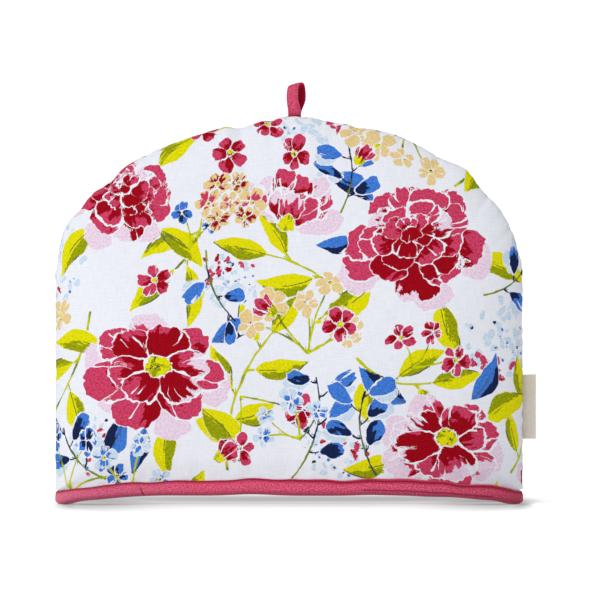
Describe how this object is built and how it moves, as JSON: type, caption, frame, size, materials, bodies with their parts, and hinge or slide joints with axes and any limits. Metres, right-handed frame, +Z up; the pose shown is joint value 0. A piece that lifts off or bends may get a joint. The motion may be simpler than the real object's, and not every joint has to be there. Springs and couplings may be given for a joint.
{
  "type": "tea cosy",
  "caption": "Dome-shaped padded cotton tea cosy with a floral print, pink bound hem and a hanging loop at the crown, standing open on its hem.",
  "frame": {"origin": "on the surface the cosy stands on, at the middle of the whole object with its side label", "axes": "+Z up, +X to the right along the width, front panel towards -Y"},
  "size_m": [0.363, 0.111, 0.3172],
  "materials": {
    "printed_cotton": "plain-weave white cotton, screen printed with flowers in crimson, pink, lime, blue and cream",
    "binding_cotton": "rose-pink cotton bias strip, plain weave, matt",
    "loop_cotton": "rose-pink cotton strip, folded and stitched",
    "label_tape": "unprinted warm grey cotton tape, ribbed weave"
  },
  "bodies": {
    "root": {"front_panel": "printed_cotton", "back_panel": "printed_cotton", "hem_binding": "binding_cotton", "hanging_loop": "loop_cotton", "side_label": "label_tape"}
  },
  "joints": []
}
